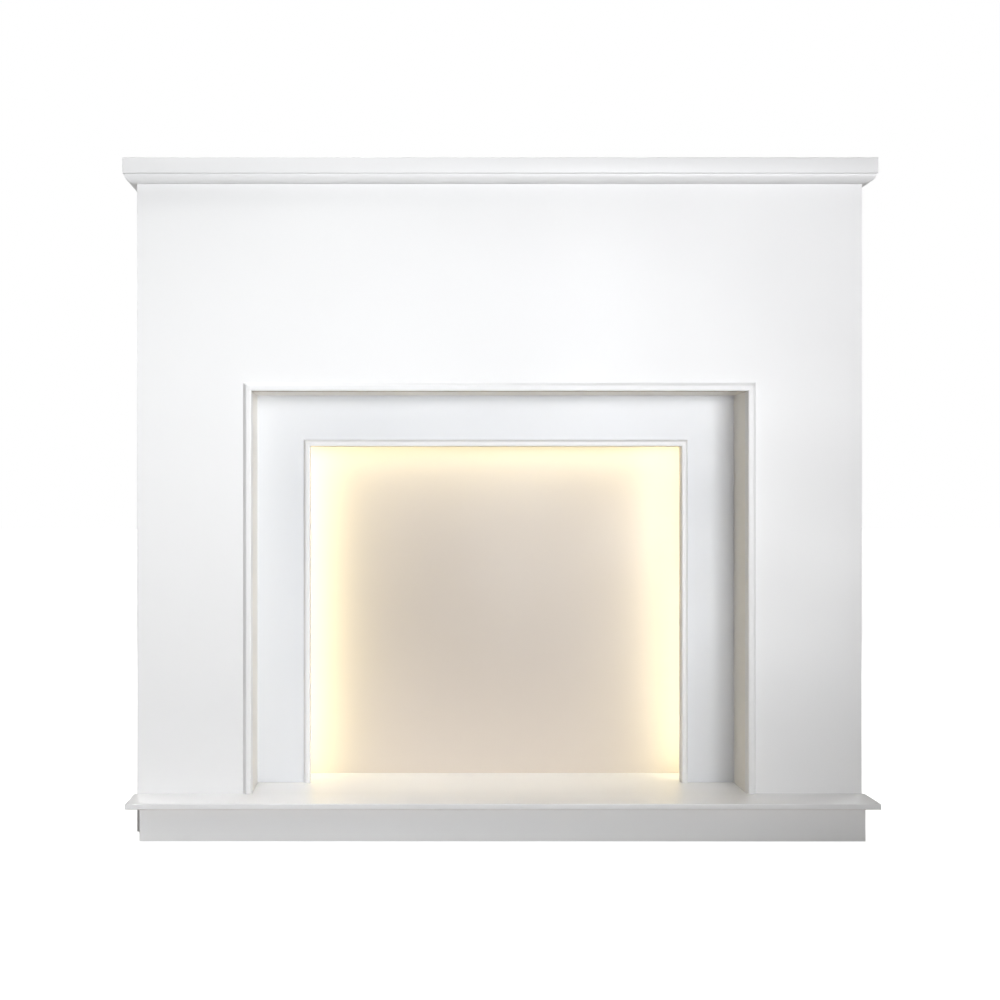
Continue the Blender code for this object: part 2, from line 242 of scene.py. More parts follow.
@dataclass(frozen=True)
class SatinPaintOnFibreboard:
    """Two coats of water-based satin, rolled on primed medium-density fibreboard.

    The paint is a neutral white that wanders a little in tone and sheen, with the roller's fine
    stipple in it. Faces that face the hollow back are left as the bare tan board, and the paint
    has crept a few millimetres round their edges.
    """

    light: str = "#F3F3F3"
    deep: str = "#EFEFEF"
    roughness: Pair = (0.36, 0.46)
    cloud_mm: float = 260.0
    # A real stipple is about 1 mm across. It is drawn coarser so that it shows at all.
    stipple_mm: float = 3.0
    stipple_depth: float = 0.03 * MM
    board_light: str = "#B59A78"
    board_deep: str = "#997F5F"
    board_roughness: float = 0.9
    # Fibres are under 1 mm long. They are drawn as flecks of 1.6 mm.
    fibre_mm: float = 1.6
    creep: float = 0.8 * MM
    creep_wander: float = 3.0 * MM
    creep_mm: float = 18.0
    creep_edge: float = 0.6 * MM
    # A face counts as bare where its normal keeps this much of the bare side's direction.
    facing_least: float = 0.7

    def material(self, name: str, low: Vector, high: Vector, bare: Sequence[Face] = ()) -> Material:
        """Makes the finish of one board.

        Args:
            name: What the board is called.
            low: The board's lowest corner.
            high: Its highest corner.
            bare: The faces that are left unpainted.

        Returns:
            The board's material.
        """
        material, tree, shader = new_material(f"satin_paint_on_mdf.{name}")
        coords = add_node(tree, "ShaderNodeTexCoord")
        place = coords.outputs["Object"]
        clouds = noise(tree, place, self.cloud_mm, FEW)
        stipple = noise(tree, place, self.stipple_mm, FEW)
        colour = mix_colours(tree, clouds, linear(self.light), linear(self.deep))
        roughness = remap(tree, clouds, NOISE_SPAN, self.roughness)
        if bare:
            mask = self.bare_mask(tree, coords, low, high, bare)
            fibres = noise(tree, place, self.fibre_mm, MANY)
            board = mix_colours(tree, fibres, linear(self.board_light), linear(self.board_deep))
            colour = mix_colours(tree, mask, colour, board)
            blend = {"Factor_Float": mask, "A_Float": roughness, "B_Float": self.board_roughness}
            roughness = add_node(tree, "ShaderNodeMix", {"data_type": "FLOAT"}, blend, "Result_Float")
        feed_shader(tree, shader, colour, roughness, stipple, self.stipple_depth)
        return material

    def bare_mask(
        self, tree: NodeTree, coords: Node, low: Vector, high: Vector, bare: Sequence[Face]
    ) -> NodeSocket:
        """Works out where the board shows: on its bare faces, short of their edges.

        Args:
            tree: The node tree.
            coords: The texture coordinate node.
            low: The board's lowest corner.
            high: Its highest corner.
            bare: The unpainted faces.

        Returns:
            A number from 0, painted, to 1, bare.
        """
        centre, half = (low + high) / 2, (high - low) / 2
        normal, place = coords.outputs["Normal"], coords.outputs["Object"]
        facing = None
        for face in bare:
            dot = vector_math(tree, "DOT_PRODUCT", normal, face.value, out="Value")
            seen = math_node(tree, "GREATER_THAN", dot, self.facing_least)
            facing = seen if facing is None else math_node(tree, "MAXIMUM", facing, seen)
        offset = vector_math(tree, "ABSOLUTE", vector_math(tree, "SUBTRACT", place, centre))
        inset = vector_math(tree, "SUBTRACT", half, offset)
        inset = vector_math(tree, "ADD", inset, vector_math(tree, "ABSOLUTE", normal))
        parts = add_node(tree, "ShaderNodeSeparateXYZ", {}, {"Vector": inset})
        nearest = parts.outputs["X"]
        for axis in ("Y", "Z"):
            nearest = math_node(tree, "MINIMUM", nearest, parts.outputs[axis])
        wander = noise(tree, place, self.creep_mm, SOME)
        reach = remap(tree, wander, NOISE_SPAN, (self.creep, self.creep + self.creep_wander))
        past = math_node(tree, "SUBTRACT", nearest, reach)
        soft = remap(tree, past, (0.0, self.creep_edge), (0.0, 1.0))
        return math_node(tree, "MULTIPLY", soft, facing)


@dataclass(frozen=True)
class PlanedPine:
    """Softwood battens, planed and left raw: warm yellow wood with darker, slightly raised rings."""

    early: str = "#E2BF8E"
    late: str = "#C1935B"
    knot: str = "#7A4E2A"
    roughness: Pair = (0.62, 0.78)
    ring_mm: float = 5.0
    heart_mm: Pair = (70.0, -55.0)
    # The rings wander along the grain over about a hand's length.
    wander_mm: float = 140.0
    distortion: float = 5.0
    detail: float = 3.0
    # Along the batten the rings are drawn out this much.
    draw: Triple = (0.25, 1.0, 1.0)
    # A wave node draws its rings this many times closer than its scale says.
    rings_per_wave: int = 20
    knot_spacing_mm: float = 210.0
    knot_radius: float = 0.055
    knot_halo: float = 1.4
    ring_depth: float = 0.08 * MM

    def material(self, name: str, low: Vector, high: Vector) -> Material:
        """Makes the finish of one batten that runs along x.

        Args:
            name: What the batten is called.
            low: Its lowest corner.
            high: Its highest corner.

        Returns:
            The batten's material.
        """
        material, tree, shader = new_material(f"planed_pine.{name}")
        place = add_node(tree, "ShaderNodeTexCoord", out="Object")
        centre = (low + high) / 2
        heart = -centre + Vector((0, self.heart_mm[0] * MM, self.heart_mm[1] * MM))
        moved = add_node(tree, "ShaderNodeMapping", {}, {"Vector": place, "Location": heart}, "Vector")
        drawn = add_node(tree, "ShaderNodeMapping", {}, {"Vector": moved, "Scale": self.draw}, "Vector")
        wave_scale = 2 * math.pi / (self.rings_per_wave * self.ring_mm * MM)
        inputs = {"Vector": drawn, "Scale": wave_scale, "Distortion": self.distortion}
        inputs |= {"Detail": self.detail, "Detail Scale": frequency(self.wander_mm) / wave_scale}
        settings = {"wave_type": "RINGS", "rings_direction": "X", "wave_profile": "SAW"}
        rings = add_node(tree, "ShaderNodeTexWave", settings, inputs, "Fac")
        wood = mix_colours(tree, rings, linear(self.early), linear(self.late))
        inputs = {"Vector": drawn, "Scale": frequency(self.knot_spacing_mm), "Randomness": 1.0}
        cell = add_node(tree, "ShaderNodeTexVoronoi", {}, inputs, "Distance")
        knot = remap(tree, cell, (self.knot_radius, self.knot_halo * self.knot_radius), (1.0, 0.0))
        wood = mix_colours(tree, knot, wood, linear(self.knot))
        roughness = remap(tree, rings, (0.0, 1.0), self.roughness)
        feed_shader(tree, shader, wood, roughness, rings, self.ring_depth)
        return material


@dataclass(frozen=True)
class Grained:
    """A finish of one colour with a fine grain, such as a moulded, drawn or plated one.

    The grain shifts the colour, the sheen and the relief a little, and stretch draws it out along
    an axis, as on an extrusion.
    """

    name: str
    light: str
    deep: str
    roughness: Pair
    metallic: float = 0.0
    grain_mm: float = 0.6
    grain_depth: float = 0.01 * MM
    stretch: Triple = (1.0, 1.0, 1.0)
    glow: str = ""
    glow_strength: float = 0.0

    def material(self) -> Material:
        """Makes the finish.

        Returns:
            Its material.
        """
        material, tree, shader = new_material(self.name)
        place = add_node(tree, "ShaderNodeTexCoord", out="Object")
        drawn = add_node(tree, "ShaderNodeMapping", {}, {"Vector": place, "Scale": self.stretch}, "Vector")
        grain = noise(tree, drawn, self.grain_mm, SOME)
        colour = mix_colours(tree, grain, linear(self.light), linear(self.deep))
        roughness = remap(tree, grain, NOISE_SPAN, self.roughness)
        feed_shader(tree, shader, colour, roughness, grain, self.grain_depth)
        shader.inputs["Metallic"].default_value = self.metallic
        if self.glow:
            shader.inputs["Emission Color"].default_value = linear(self.glow)
            shader.inputs["Emission Strength"].default_value = self.glow_strength
        return material


# Extruded and satin anodised: fine die lines along the bar, a soft grey sheen
ANODISED_ALUMINIUM = Grained(
    "anodised_aluminium", "#D2D4D5", "#C3C5C7", (0.30, 0.42), 1.0, 0.8, 0.006 * MM, (1.0, 1.0, 0.02)
)
# Extruded opal polycarbonate: an even, slightly yellow white. Each bar adds its own glow to it.
OPAL_COVER = Grained("opal_polycarbonate", "#F6F0E0", "#F2EAD6", (0.32, 0.40))
# Solder mask on a flexible strip: white and slightly glossy
WHITE_SOLDER_MASK = Grained("white_solder_mask", "#EFEFEA", "#E6E6E0", (0.25, 0.35))
# Silicone with phosphor over each lamp: a matt egg yellow when seen unlit
PHOSPHOR_GEL = Grained("phosphor_silicone", "#E8C63C", "#D9B42C", (0.4, 0.5))
# Injection-moulded polyamide: near black with a fine spark-eroded grain
MOULDED_NYLON = Grained("moulded_nylon", "#1C1C1D", "#252526", (0.42, 0.55), grain_mm=0.5)
# Moulded nitrile rubber: dead matt black
NITRILE_RUBBER = Grained("nitrile_rubber", "#121212", "#1A1A1A", (0.7, 0.8), grain_mm=0.8)
# Steel with bright zinc plate: a cool metal with a faint yellow bloom
BRIGHT_ZINC = Grained("bright_zinc_plate", "#C9C6BC", "#B4B3AC", (0.26, 0.38), 1.0, 1.5)
# Acrylic caulk, smoothed with a wet finger and painted over: a touch smoother than the rolled paint
PAINTED_CAULK = Grained("painted_acrylic_caulk", "#F2F2F2", "#EEEEEE", (0.34, 0.42), grain_mm=8.0)

PAINT = SatinPaintOnFibreboard()
# The recess's boards have it a touch greyer, as painted shade for the recess
RECESS_PAINT_WITH_PAINTED_SHADE = SatinPaintOnFibreboard(light="#E7E9EC", deep="#E3E5E8")
# The linings have it a touch warmer: painted warm light and shade from the niche's glow on the reveals
LINING_PAINT_WITH_PAINTED_WARM_LIGHT = SatinPaintOnFibreboard(light="#F4F0E9", deep="#F0ECE5")
# The niche's back board has the same paint in a warm light greige, darker than the rest: partly its own
# colour and partly painted shade deep in the niche
GREIGE_PAINT_WITH_PAINTED_SHADE = SatinPaintOnFibreboard(light="#D2C7BB", deep="#CDC2B6")
# The hearth's paint is rubbed down and glossier, so that the niche's glow lies on it
HEARTH_PAINT = SatinPaintOnFibreboard(roughness=(0.17, 0.24))
PINE = PlanedPine()


def select_only(piece: Object) -> None:
    """Makes a piece the active object and the only selected one.

    Args:
        piece: The piece.
    """
    bpy.ops.object.select_all(action="DESELECT")
    bpy.context.view_layer.objects.active = piece
    piece.select_set(True)


@contextmanager
def editing(piece: Object) -> Iterator[None]:
    """Holds a piece in edit mode, with nothing selected in it.

    Args:
        piece: The piece to edit.

    Yields:
        Nothing; the mode goes back afterwards.
    """
    select_only(piece)
    bpy.ops.object.mode_set(mode="EDIT")
    bpy.ops.mesh.select_all(action="DESELECT")
    yield
    bpy.ops.object.mode_set(mode="OBJECT")
    piece.select_set(False)


def pick(piece: Object, part: Part, test: Callable[[Vector], bool], along: Vector | None = None) -> None:
    """Selects the edges or faces of a piece in edit mode whose corners all pass a test.

    Args:
        piece: The piece that is being edited.
        part: Whether edges or faces are picked.
        test: Says whether a corner's place is wanted.
        along: For edges, the direction that they run in; for faces, the way that they look.

    Raises:
        ValueError: Nothing passed the test.
    """
    bpy.ops.mesh.select_mode(type=part.value)
    bpy.ops.mesh.select_all(action="DESELECT")
    mesh = bmesh.from_edit_mesh(piece.data)
    mesh.normal_update()
    found = 0
    for item in mesh.edges if part is Part.EDGES else mesh.faces:
        wanted = all(test(vert.co) for vert in item.verts)
        if wanted and along is not None:
            if part is Part.EDGES:
                run = (item.verts[1].co - item.verts[0].co).normalized()
                wanted = abs(run.dot(along)) > SAME_WAY
            else:
                wanted = item.normal.dot(along) > SAME_WAY
        if wanted:
            item.select_set(True)
            found += 1
    if not found:
        raise ValueError(f"{piece.name}: nothing to pick")
    bmesh.update_edit_mesh(piece.data)


def bevel(width: float, segments: int, profile: float = 0.5) -> None:
    """Rounds the picked edges from so far back. A profile under 0.5 hollows them."""
    bpy.ops.mesh.bevel(offset=width, segments=segments, profile=profile, affect="EDGES", clamp_overlap=False)


def saw(corner: Vector, normal: Vector) -> None:
    """Cuts the piece in edit mode at a corner, drops what the normal points to and fills the cut."""
    bpy.ops.mesh.select_all(action="SELECT")
    bpy.ops.mesh.bisect(plane_co=corner, plane_no=normal.normalized(), use_fill=True, clear_outer=True)


def new_box(name: str, low: Sequence[float], high: Sequence[float]) -> Object:
    """Adds a box between two corners, with its place in its mesh.

    Args:
        name: The piece's name.
        low: The lowest corner.
        high: The highest corner.

    Returns:
        The new object.
    """
    low, high = Vector(low), Vector(high)
    bpy.ops.mesh.primitive_cube_add(size=1.0, location=(low + high) / 2)
    bpy.context.active_object.scale = high - low
    return name_new(name)


def new_cylinder(name: str, radius: float, depth: float, centre: Vector, sides: int) -> Object:
    """Adds a cylinder whose axis runs along y, with its place in its mesh.

    Args:
        name: The piece's name.
        radius: Its radius.
        depth: Its length along y.
        centre: Its middle.
        sides: The number of its sides.

    Returns:
        The new object.
    """
    bpy.ops.mesh.primitive_cylinder_add(
        vertices=sides, radius=radius, depth=depth, location=centre, rotation=LAID_ALONG_Y
    )
    return name_new(name)


def name_new(name: str) -> Object:
    """Names the piece just added, and puts its place and size into its mesh.

    Args:
        name: Its name.

    Returns:
        The piece.
    """
    piece = bpy.context.active_object
    piece.name = piece.data.name = name
    bpy.ops.object.transform_apply(location=True, rotation=True, scale=True)
    piece.select_set(False)
    return piece


def close_up(piece: Object, smooth_angle: float) -> None:
    """Welds a piece's seams, faces it outwards and shades its rounds smooth.

    Args:
        piece: The piece.
        smooth_angle: Edges that turn by more degrees than this stay sharp.
    """
    with editing(piece):
        bpy.ops.mesh.select_all(action="SELECT")
        bpy.ops.mesh.remove_doubles(threshold=WELD)
        bpy.ops.mesh.normals_make_consistent(inside=False)
    piece.select_set(True)
    bpy.ops.object.shade_smooth_by_angle(angle=math.radians(smooth_angle))
    piece.select_set(False)


def apply_modifier(piece: Object, kind: str, **settings: object) -> None:
    """Adds a modifier to a piece and applies it.

    Args:
        piece: The piece.
        kind: The modifier's type.
        settings: The modifier's own properties.
    """
    select_only(piece)
    modifier = piece.modifiers.new(kind.lower(), kind)
    for name, value in settings.items():
        setattr(modifier, name, value)
    bpy.ops.object.modifier_apply(modifier=modifier.name)
    piece.select_set(False)


def join_up(pieces: Sequence[Object]) -> Object:
    """Joins several meshes into the first of them.

    Args:
        pieces: The meshes.

    Returns:
        The first of them.
    """
    bpy.ops.object.select_all(action="DESELECT")
    for piece in pieces:
        piece.select_set(True)
    bpy.context.view_layer.objects.active = pieces[0]
    bpy.ops.object.join()
    pieces[0].select_set(False)
    return pieces[0]


def dress(piece: Object, material: Material) -> None:
    """Gives a mesh a material in place of any that it had."""
    piece.data.materials.clear()
    piece.data.materials.append(material)


def hand_over(piece: Object, slot: str, *nodes: str) -> None:
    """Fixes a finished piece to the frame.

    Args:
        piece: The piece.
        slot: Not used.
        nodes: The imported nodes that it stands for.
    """
    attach(piece, BODY)
    if nodes:
        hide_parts(*nodes)
    LOG.info("%s: %d faces", piece.name, len(piece.data.polygons))


def finish(piece: Object, material: Material, slot: str, *nodes: str, smooth_angle: float = 35.0) -> None:
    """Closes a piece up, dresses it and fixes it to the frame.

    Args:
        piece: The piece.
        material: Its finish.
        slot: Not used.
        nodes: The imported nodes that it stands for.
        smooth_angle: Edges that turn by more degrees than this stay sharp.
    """
    close_up(piece, smooth_angle)
    dress(piece, material)
    hand_over(piece, slot, *nodes)


def paint_node(node: str, *bare: Face, paint: SatinPaintOnFibreboard = PAINT) -> None:
    """Paints a packed board, leaving some faces bare.

    Args:
        node: The board's node.
        bare: The faces that are left unpainted.
        paint: The paint it gets.
    """
    low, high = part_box(node)
    dress(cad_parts[node], paint.material(node, low, high, bare))
    LOG.info("%s: painted", node)


@dataclass
class Case:
    """The boarded case: front, sides, the linings of its recess and the shelf with its bed mould."""

    shelf_arris: float = 1.6 * MM
    bed_round: float = 15.0 * MM
    bed_soffit: float = 5.0 * MM
    arris_faces: int = 4
    bed_faces: int = 14

    def build(self) -> None:
        """Paints the boards, then makes the shelf and the bed mould."""
        paint_node("front_panel", Face.REAR, Face.UNDER)
        for flank in Flank:
            paint_node(f"side_{flank.word}", flank.inward, Face.REAR, Face.UNDER)
            # The linings' warmer paint is painted warm light from the niche's glow
            paint_node(f"lining_{flank.word}", flank.outward, Face.REAR, Face.UNDER, paint=LINING_PAINT_WITH_PAINTED_WARM_LIGHT)
        paint_node("lining_head", Face.TOP, Face.REAR, paint=LINING_PAINT_WITH_PAINTED_WARM_LIGHT)
        self.make_shelf()
        self.make_bed_mould()

    def make_shelf(self) -> None:
        """Makes the shelf board, with every arris sanded round."""
        low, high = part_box("mantel_shelf")
        piece = new_box("shelf_board", low, high)
        with editing(piece):
            pick(piece, Part.EDGES, lambda co: True)
            bevel(self.shelf_arris, self.arris_faces)
        paint = PAINT.material("shelf_board", low, high, [Face.REAR])
        finish(piece, paint, PAINT_SLOT, "mantel_shelf")

    def make_bed_mould(self) -> None:
        """Makes the ovolo under the shelf, along the front and both sides."""
        case_low, case_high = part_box("front_panel")
        corner = Vector((case_high.x, case_low.y, 0))
        self.bed_run("bed_mould_front", -Y, corner, [Vector((1, 1, 0)), Vector((-1, 1, 0))])
        self.bed_run("bed_mould_left", -X, corner, [Vector((1, -1, 0))])
        self.bed_run("bed_mould_right", X, corner, [Vector((-1, -1, 0))])

    def bed_run(self, node: str, out: Vector, corner: Vector, wastes: Sequence[Vector]) -> None:
        """Makes one run of the ovolo.

        A circle rounds the lower edge of a shallower block, which is then drawn out to its full
        projection, so that the round becomes the flatter ellipse of the real profile.

        Args:
            node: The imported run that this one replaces.
            out: The way it stands out from the case.
            corner: The case's front right corner; the left one mirrors it.
            wastes: The direction of the waste at each mitre.
        """
        low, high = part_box(node)
        axis = 1 if out.y else 0
        away = out[axis]
        face = away * corner.x if axis == 0 else corner.y
        reach = abs((low if away < 0 else high)[axis] - face)
        draw = (reach - self.bed_soffit) / self.bed_round
        run = X if axis else Y
        # The blank runs past each mitre by this much
        spare = run * 2 * reach
        ends = low - spare, high + (spare if axis else Vector((0, 0, 0)))
        outer = face + away * reach / draw
        ends[0][axis], ends[1][axis] = sorted((face + away * CLEARANCE, outer))
        piece = new_box(f"{node}_run", *ends)
        stretch = [1.0, 1.0, 1.0]
        stretch[axis] = draw
        centre = Vector((0, 0, 0))
        centre[axis] = face
        with editing(piece):
            lower = (low.z + high.z) / 2
            pick(piece, Part.EDGES, lambda co: abs(co[axis] - outer) < MM and co.z < lower, run)
            bevel(self.bed_round, self.bed_faces)
            bpy.ops.mesh.select_all(action="SELECT")
            bpy.ops.transform.resize(value=stretch, center_override=centre)
            for waste in wastes:
                # The sign of x of the corner where this waste is sawn off
                side = math.copysign(1.0, (waste if out.y else out).x)
                saw(Vector((side * corner.x, corner.y, 0)) - waste.normalized() * CLEARANCE / 2, waste)
        paint = PAINT.material(piece.name, low, high, [Face.REAR] if axis == 0 else [])
        finish(piece, paint, PAINT_SLOT, node)


@dataclass
class BeadFrame:
    """A raised bead round an opening, in three runs that meet in mitres.

    Its flat nose stands at the opening, and its outer side is splayed back to a thin lip.
    """

    prefix: str
    splay: float = 6.0 * MM
    lip: float = 1.0 * MM
    nose_round: float = 3.0 * MM
    shoulder_round: float = 1.2 * MM
    round_faces: int = 6

    def build(self) -> None:
        """Makes the two upright runs and the one across the top."""
        top_low, top_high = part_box(f"{self.prefix}_top")
        left_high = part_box(f"{self.prefix}_left")[1]
        edge_x, edge_z, back = -left_high.x, top_low.z, left_high.y
        spare = Vector((2 * (top_high.z - top_low.z), 0, 0))
        wastes = {flank: Vector((flank.value, 0, -1)) for flank in Flank}
        corners = {flank: Vector((flank.value * edge_x, back, edge_z)) for flank in Flank}
        cuts = [(corners[flank], wastes[flank]) for flank in Flank]
        self.run("top", top_low - spare, top_high + spare, Z, cuts)
        for flank in Flank:
            low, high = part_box(f"{self.prefix}_{flank.word}")
            grown = high + Z * spare.x
            self.run(flank.word, low, grown, X * flank.value, [(corners[flank], -wastes[flank])])

    def run(self, word: str, low: Vector, high: Vector, out: Vector, cuts: Sequence[tuple]) -> None:
        """Makes one run of the bead.

        Args:
            word: Which run it is.
            low: The lowest corner of its blank.
            high: The blank's highest corner.
            out: The direction away from the opening.
            cuts: For each mitre, its corner and the direction of its waste.
        """
        node = f"{self.prefix}_{word}"
        piece = new_box(f"{node}_run", low, high)
        inner, outer = sorted((low.dot(out), high.dot(out)))
        shoulder = outer - self.splay
        fall = high.y - low.y - self.lip
        with editing(piece):
            saw(out * shoulder + Y * low.y, out * fall - Y * self.splay)
            for reach, width in ((inner, self.nose_round), (shoulder, self.shoulder_round)):
                pick(
                    piece,
                    Part.EDGES,
                    lambda co: co.y < low.y + CLEARANCE and abs(co.dot(out) - reach) < CLEARANCE,
                    out.cross(Y),
                )
                bevel(width, self.round_faces)
            for corner, waste in cuts:
                saw(corner - waste.normalized() * CLEARANCE / 2, waste)
        finish(piece, PAINT.material(piece.name, *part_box(node)), PAINT_SLOT, node)


@dataclass
class Hearth:
    """The thin slab with its tongue into the niche, and the plinth that it lies on."""

    arris: float = 1.6 * MM
    arris_faces: int = 4
    # Edges that turn by fewer degrees than this are seams in a flat face
    seam_turn: float = 5.0

    def build(self) -> None:
        """Makes the slab and paints the plinth."""
        self.make_slab()
        paint_node("plinth_front", Face.REAR, Face.UNDER)
        for flank in Flank:
            paint_node(f"plinth_end_{flank.word}", flank.inward, Face.UNDER)

    def make_slab(self) -> None:
        """Makes the slab: a board whose rear middle is drawn back into a tongue."""
        low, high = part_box("hearth_slab")
        case_low, case_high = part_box("front_panel")
        shoulder = case_low.y - CLEARANCE
        tongue_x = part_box("niche_back")[1].x
        piece = new_box("hearth_slab_board", low, (high.x, shoulder, high.z))
        with editing(piece):
            for flank in Flank:
                bpy.ops.mesh.select_all(action="SELECT")
                bpy.ops.mesh.bisect(plane_co=(flank.value * tongue_x, 0, 0), plane_no=X)
            pick(piece, Part.FACES, lambda co: abs(co.x) < tongue_x + CLEARANCE, Y)
            bpy.ops.mesh.extrude_region_move(TRANSFORM_OT_translate={"value": (0, high.y - shoulder, 0)})
            middle = (low.y + shoulder) / 2
            floor = low.z + CLEARANCE
            pick(piece, Part.EDGES, lambda co: co.y < middle or (abs(co.x) > case_high.x and co.z > floor))
            self.drop_seams(piece)
            bevel(self.arris, self.arris_faces)
        paint = HEARTH_PAINT.material("hearth_slab_board", low, high, [Face.UNDER])
        finish(piece, paint, PAINT_SLOT, "hearth_slab")

    def drop_seams(self, piece: Object) -> None:
        """Unpicks the edges between faces that lie in one plane.

        Args:
            piece: The piece in edit mode.
        """
        mesh = bmesh.from_edit_mesh(piece.data)
        for edge in mesh.edges:
            if edge.select and edge.calc_face_angle(0.0) < math.radians(self.seam_turn):
                edge.select_set(False)
        bmesh.update_edit_mesh(piece.data)


@dataclass
class Niche:
    """The lit niche: the panel round it, its back board and the caulk in the recess's corners."""

    fillet: float = 2.0 * MM
    fillet_faces: int = 5
    hollow: float = 0.18
    # The hollow takes this share of the fillet, which leaves its feet a little thickness
    hollow_share: float = 0.96
    smooth_angle: float = 50.0

    def build(self) -> None:
        """Paints the boards and runs the caulk."""
        # The panel round the niche gets the greyer paint, which is painted shade for the recess
        paint_node("inner_surround", Face.UNDER, paint=RECESS_PAINT_WITH_PAINTED_SHADE)
        # The niche's back gets the darker greige, which is partly painted shade deep in the niche
        paint_node("niche_back", Face.REAR, Face.UNDER, paint=GREIGE_PAINT_WITH_PAINTED_SHADE)
        self.run_caulk()

    def run_caulk(self) -> None:
        """Fills the inner corners of the recess."""
        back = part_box("inner_surround")[0].y
        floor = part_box("hearth_slab")[1].z
        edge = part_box("lining_right")[0].x
        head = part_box("lining_head")[0].z
        for flank in Flank:
            side, rise = flank.value, Z * (head - floor)
            self.caulk(f"caulk_corner_{flank.word}", (side * edge, back, floor), (-side, -1, 0), rise)
        self.caulk("caulk_corner_head", (-edge, back, head), (0, -1, -1), X * 2 * edge)

    def caulk(self, name: str, start: Sequence[float], into: Sequence[float], run: Vector) -> None:
        """Runs a hollow fillet of caulk along an inner corner.

        Args:
            name: The piece's name.
            start: Where the corner starts.
            into: The two directions in which its legs reach, as signs.
            run: How far it goes, and which way.
        """
        start, into = Vector(start), Vector(into)
        ends = (start, start + run + into * self.fillet)
        low = Vector([min(pair) for pair in zip(*ends)])
        high = Vector([max(pair) for pair in zip(*ends)])
        piece = new_box(name, low, high)
        outer = start + into * self.fillet
        axes = [axis for axis in range(3) if into[axis]]
        with editing(piece):
            pick(
                piece,
                Part.EDGES,
                lambda co: all(abs(co[axis] - outer[axis]) < CLEARANCE for axis in axes),
                run.normalized(),
            )
            bevel(self.fillet * self.hollow_share, self.fillet_faces, self.hollow)
        finish(piece, PAINTED_CAULK.material(), PAINT_SLOT, smooth_angle=self.smooth_angle)


@dataclass
class LightBar:
    """One light bar: a U-shaped channel, its strip of lamps and its opal cover."""

    node: str
    along: Vector
    glow: str
    glow_strength: float
    wall: float = 1.1 * MM
    cover_crown: float = 2.0 * MM
    crown_share: float = 0.9
    crown_faces: int = 6
    strip_width: float = 10.0 * MM
    strip_thickness: float = 0.4 * MM
    lamp_pitch: float = 8.3 * MM
    lamp: Triple = (2.8 * MM, 3.5 * MM, 0.8 * MM)
    # The gel lies in a dish this far in from the lamp's rim, and this deep
    dish: Pair = (0.35 * MM, 0.15 * MM)
    # The lamps stand off the strip, and the strip stops short of the channel's ends, by these
    solder: float = 0.03 * MM
    strip_setback: float = 2.2 * MM

    def build(self) -> None:
        """Makes the channel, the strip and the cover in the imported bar's box."""
        self.make_channel()
        self.make_strip()
        self.make_cover()

    def across(self) -> Vector:
        """The direction across the bar's width."""
        return X if self.along.z else Z

    def make_channel(self) -> None:
        """Folds a strip up into a channel and thickens it."""
        low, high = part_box(self.node)
        centre = Vector(((low.x + high.x) / 2, low.y, (low.z + high.z) / 2))
        bpy.ops.mesh.primitive_plane_add(size=1.0, location=centre, rotation=LAID_ALONG_Y)
        bpy.context.active_object.scale = (high.x - low.x, high.z - low.z, 1.0)
        piece = name_new(f"{self.node}_channel")
        with editing(piece):
            pick(piece, Part.EDGES, lambda co: True, self.along)
            rise = (0, high.y - self.cover_crown - low.y, 0)
            bpy.ops.mesh.extrude_region_move(TRANSFORM_OT_translate={"value": rise})
        apply_modifier(piece, "SOLIDIFY", thickness=self.wall, offset=-1.0, use_even_offset=True)
        finish(piece, ANODISED_ALUMINIUM.material(), ALUMINIUM_SLOT, self.node)

    def make_strip(self) -> None:
        """Makes the flexible strip and its row of lamps."""
        low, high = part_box(self.node)
        across, along = self.across(), self.along
        centre = (low + high) / 2
        length = (high - low).dot(along) - 2 * self.strip_setback
        base = low.y + self.wall + CLEARANCE
        half = across * self.strip_width / 2 + along * length / 2
        strip_low = Vector((centre.x, base, centre.z)) - half
        strip_high = Vector((centre.x, base + self.strip_thickness, centre.z)) + half
        strip = new_box(f"{self.node}_strip", strip_low, strip_high)
        top = strip_high.y + self.solder
        count = int(length / self.lamp_pitch) - 1
        wide, tall, deep = self.lamp
        first = Vector((centre.x, top, centre.z)) - along * self.lamp_pitch * (count - 1) / 2
        reach = across * wide / 2 + along * tall / 2
        lamp = new_box("lamp", first - reach, first + reach + Y * deep)
        with editing(lamp):
            pick(lamp, Part.FACES, lambda co: co.y > top + deep / 2, Y)
            bpy.ops.mesh.inset(thickness=self.dish[0], depth=-self.dish[1])
        steps = {"use_relative_offset": False, "use_constant_offset": True}
        steps["constant_offset_displace"] = along * self.lamp_pitch
        apply_modifier(lamp, "ARRAY", count=count, **steps)
        dress(strip, WHITE_SOLDER_MASK.material())
        dress(lamp, PHOSPHOR_GEL.material())
        piece = join_up([strip, lamp])
        hand_over(piece, OPAL_SLOT)

    def make_cover(self) -> None:
        """Makes the opal cover, a shallow crown across the channel's mouth."""
        low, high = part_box(self.node)
        across = self.across()
        inset = across * (self.wall + CLEARANCE) + self.along * CLEARANCE
        low.y = high.y - self.cover_crown - (self.wall - CLEARANCE)
        piece = new_box(f"{self.node}_cover", low + inset, high - inset)
        with editing(piece):
            pick(piece, Part.EDGES, lambda co: co.y > high.y - CLEARANCE, self.along)
            bevel(self.cover_crown * self.crown_share, self.crown_faces)
        lit = replace(OPAL_COVER, glow=self.glow, glow_strength=self.glow_strength)
        finish(piece, lit.material(), OPAL_SLOT)


